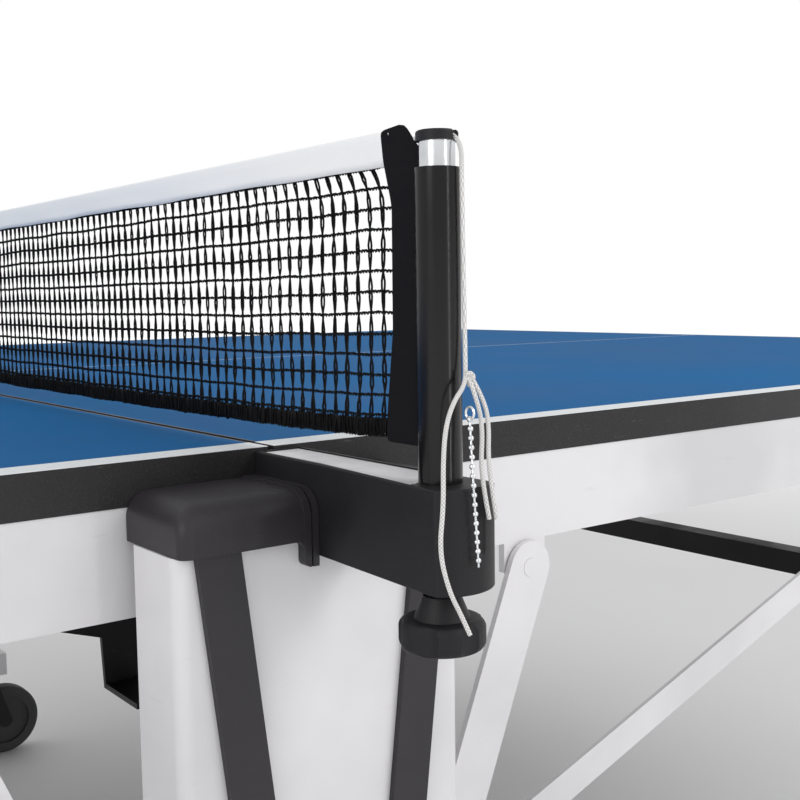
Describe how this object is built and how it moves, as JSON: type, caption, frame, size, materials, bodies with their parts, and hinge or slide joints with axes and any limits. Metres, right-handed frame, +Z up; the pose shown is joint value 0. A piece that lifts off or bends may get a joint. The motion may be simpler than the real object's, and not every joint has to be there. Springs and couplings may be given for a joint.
{
  "type": "ping pong table",
  "caption": "Full-size table tennis table with a folding half on each side of a wheeled central trolley, steel rails and legs, and a net on two posts.",
  "frame": {"origin": "on the floor under the middle of the net", "axes": "+X along the table, +Y across the table to the far side, +Z up"},
  "size_m": [2.74, 1.8637, 0.9125],
  "materials": {
    "blue_board": "painted matt blue with white line markings",
    "black_band": "fine grained black band",
    "white_steel": "white powder coat",
    "black_steel": "matt black powder coat",
    "black_plastic": "fine moulded texture",
    "pale_inlay": "pale grey textured plate",
    "bright_steel": "bright zinc plated",
    "zinc_steel": "plain zinc plated",
    "net_fabric": "black knotted mesh",
    "tape_fabric": "white woven tape",
    "cord_fabric": "white braided cord",
    "wheel_rubber": "grey black tread",
    "foot_rubber": "black rubber"
  },
  "bodies": {
    "trolley": {"column_near": "white_steel", "column_far": "white_steel", "column_cap_near": "black_plastic", "column_cap_far": "black_plastic", "net_arm_near": "black_plastic", "net_arm_far": "black_plastic", "arm_inlays": "pale_inlay", "stay_bars": "black_steel", "base_rails": "white_steel", "base_beams": "white_steel", "pivot_pins": "zinc_steel", "post_tube_near": "black_steel", "post_tube_far": "black_steel"},
    "net_set": {"post_cores": "bright_steel", "post_caps": "black_plastic", "net_mesh": "net_fabric", "net_tape": "tape_fabric", "net_sleeves": "net_fabric", "tension_cord": "cord_fabric", "cord_loop_long": "cord_fabric", "cord_loop_short": "cord_fabric", "bead_chain": "bright_steel"},
    "knob_near": {"clamp_knob_near": "black_plastic"},
    "knob_far": {"clamp_knob_far": "black_plastic"},
    "arms_a": {"fold_arms_a": "white_steel"},
    "half_a": {"board_a": "blue_board", "edge_band_a": "black_band", "end_rail_a": "white_steel", "cross_rails_a": "white_steel", "side_rail_a_near": "white_steel", "side_rail_a_far": "white_steel"},
    "legs_a": {"leg_a_near": "white_steel", "leg_a_far": "white_steel", "leg_bar_a": "black_steel"},
    "links_a": {"guide_links_a": "white_steel"},
    "lock_a": {"lock_bar_a": "black_steel"},
    "foot_a_near": {"levelling_foot_a_near": "foot_rubber"},
    "castor_a_near": {"castor_fork_a_near": "black_steel"},
    "wheel_a_near": {"castor_wheel_a_near": "wheel_rubber"},
    "foot_a_far": {"levelling_foot_a_far": "foot_rubber"},
    "castor_a_far": {"castor_fork_a_far": "black_steel"},
    "wheel_a_far": {"castor_wheel_a_far": "wheel_rubber"},
    "arms_b": {"fold_arms_b": "white_steel"},
    "half_b": {"board_b": "blue_board", "edge_band_b": "black_band", "end_rail_b": "white_steel", "cross_rails_b": "white_steel", "side_rail_b_near": "white_steel", "side_rail_b_far": "white_steel"},
    "legs_b": {"leg_b_near": "white_steel", "leg_b_far": "white_steel", "leg_bar_b": "black_steel"},
    "links_b": {"guide_links_b": "white_steel"},
    "lock_b": {"lock_bar_b": "black_steel"},
    "foot_b_near": {"levelling_foot_b_near": "foot_rubber"},
    "castor_b_near": {"castor_fork_b_near": "black_steel"},
    "wheel_b_near": {"castor_wheel_b_near": "wheel_rubber"},
    "foot_b_far": {"levelling_foot_b_far": "foot_rubber"},
    "castor_b_far": {"castor_fork_b_far": "black_steel"},
    "wheel_b_far": {"castor_wheel_b_far": "wheel_rubber"}
  },
  "joints": [
    {"name": "net_height", "type": "slide", "parent": "trolley", "child": "net_set", "axis": [0, 0, 1], "range_m": [0, 0.008]},
    {"name": "clamp_knob_near_turn", "type": "hinge", "parent": "trolley", "child": "knob_near", "pos_m": [0, -0.905, 0.7], "axis": [0, 0, 1], "continuous": true},
    {"name": "clamp_knob_far_turn", "type": "hinge", "parent": "trolley", "child": "knob_far", "pos_m": [0, 0.905, 0.7], "axis": [0, 0, 1], "continuous": true},
    {"name": "half_a_fold", "type": "hinge", "parent": "arms_a", "child": "half_a", "pos_m": [0.188, 0, 0.664], "axis": [0, -1, 0], "range_deg": [0, 110]},
    {"name": "arms_a_swing", "type": "hinge", "parent": "trolley", "child": "arms_a", "pos_m": [0.02, 0, 0.25], "axis": [0, 1, 0], "range_deg": [0, 20]},
    {"name": "links_a_swing", "type": "hinge", "parent": "trolley", "child": "links_a", "pos_m": [0.016, 0, 0.444], "axis": [0, -1, 0], "range_deg": [0, 46]},
    {"name": "legs_a_fold", "type": "hinge", "parent": "half_a", "child": "legs_a", "pos_m": [1, 0, 0.702], "axis": [0, 1, 0], "range_deg": [0, 90]},
    {"name": "lock_a_turn", "type": "hinge", "parent": "half_a", "child": "lock_a", "pos_m": [0.075, 0, 0.7], "axis": [0, 1, 0], "range_deg": [0, 25]},
    {"name": "foot_a_near_level", "type": "slide", "parent": "legs_a", "child": "foot_a_near", "axis": [0, 0, -1], "range_m": [0, 0.012]},
    {"name": "castor_a_near_swivel", "type": "hinge", "parent": "trolley", "child": "castor_a_near", "pos_m": [0.3, -0.793, 0.145], "axis": [0, 0, 1], "continuous": true},
    {"name": "wheel_a_near_spin", "type": "hinge", "parent": "castor_a_near", "child": "wheel_a_near", "pos_m": [0.334, -0.793, 0.0625], "axis": [0, 1, 0], "continuous": true},
    {"name": "foot_a_far_level", "type": "slide", "parent": "legs_a", "child": "foot_a_far", "axis": [0, 0, -1], "range_m": [0, 0.012]},
    {"name": "castor_a_far_swivel", "type": "hinge", "parent": "trolley", "child": "castor_a_far", "pos_m": [0.3, 0.793, 0.145], "axis": [0, 0, 1], "continuous": true},
    {"name": "wheel_a_far_spin", "type": "hinge", "parent": "castor_a_far", "child": "wheel_a_far", "pos_m": [0.334, 0.793, 0.0625], "axis": [0, 1, 0], "continuous": true},
    {"name": "half_b_fold", "type": "hinge", "parent": "arms_b", "child": "half_b", "pos_m": [-0.188, 0, 0.664], "axis": [0, 1, 0], "range_deg": [0, 110]},
    {"name": "arms_b_swing", "type": "hinge", "parent": "trolley", "child": "arms_b", "pos_m": [-0.02, 0, 0.25], "axis": [0, -1, 0], "range_deg": [0, 20]},
    {"name": "links_b_swing", "type": "hinge", "parent": "trolley", "child": "links_b", "pos_m": [-0.016, 0, 0.444], "axis": [0, 1, 0], "range_deg": [0, 46]},
    {"name": "legs_b_fold", "type": "hinge", "parent": "half_b", "child": "legs_b", "pos_m": [-1, 0, 0.702], "axis": [0, -1, 0], "range_deg": [0, 90]},
    {"name": "lock_b_turn", "type": "hinge", "parent": "half_b", "child": "lock_b", "pos_m": [-0.075, 0, 0.7], "axis": [0, -1, 0], "range_deg": [0, 25]},
    {"name": "foot_b_near_level", "type": "slide", "parent": "legs_b", "child": "foot_b_near", "axis": [0, 0, -1], "range_m": [0, 0.012]},
    {"name": "castor_b_near_swivel", "type": "hinge", "parent": "trolley", "child": "castor_b_near", "pos_m": [-0.3, -0.793, 0.145], "axis": [0, 0, 1], "continuous": true},
    {"name": "wheel_b_near_spin", "type": "hinge", "parent": "castor_b_near", "child": "wheel_b_near", "pos_m": [-0.334, -0.793, 0.0625], "axis": [0, 1, 0], "continuous": true},
    {"name": "foot_b_far_level", "type": "slide", "parent": "legs_b", "child": "foot_b_far", "axis": [0, 0, -1], "range_m": [0, 0.012]},
    {"name": "castor_b_far_swivel", "type": "hinge", "parent": "trolley", "child": "castor_b_far", "pos_m": [-0.3, 0.793, 0.145], "axis": [0, 0, 1], "continuous": true},
    {"name": "wheel_b_far_spin", "type": "hinge", "parent": "castor_b_far", "child": "wheel_b_far", "pos_m": [-0.334, 0.793, 0.0625], "axis": [0, 1, 0], "continuous": true}
  ],
  "couplings": [
    {"joint": "arms_a_swing", "follows": "half_a_fold", "ratio": 0.18182},
    {"joint": "links_a_swing", "follows": "half_a_fold", "ratio": 0.41364},
    {"joint": "legs_a_fold", "follows": "half_a_fold", "ratio": 0.81818},
    {"joint": "arms_b_swing", "follows": "half_b_fold", "ratio": 0.18182},
    {"joint": "links_b_swing", "follows": "half_b_fold", "ratio": 0.41364},
    {"joint": "legs_b_fold", "follows": "half_b_fold", "ratio": 0.81818}
  ]
}
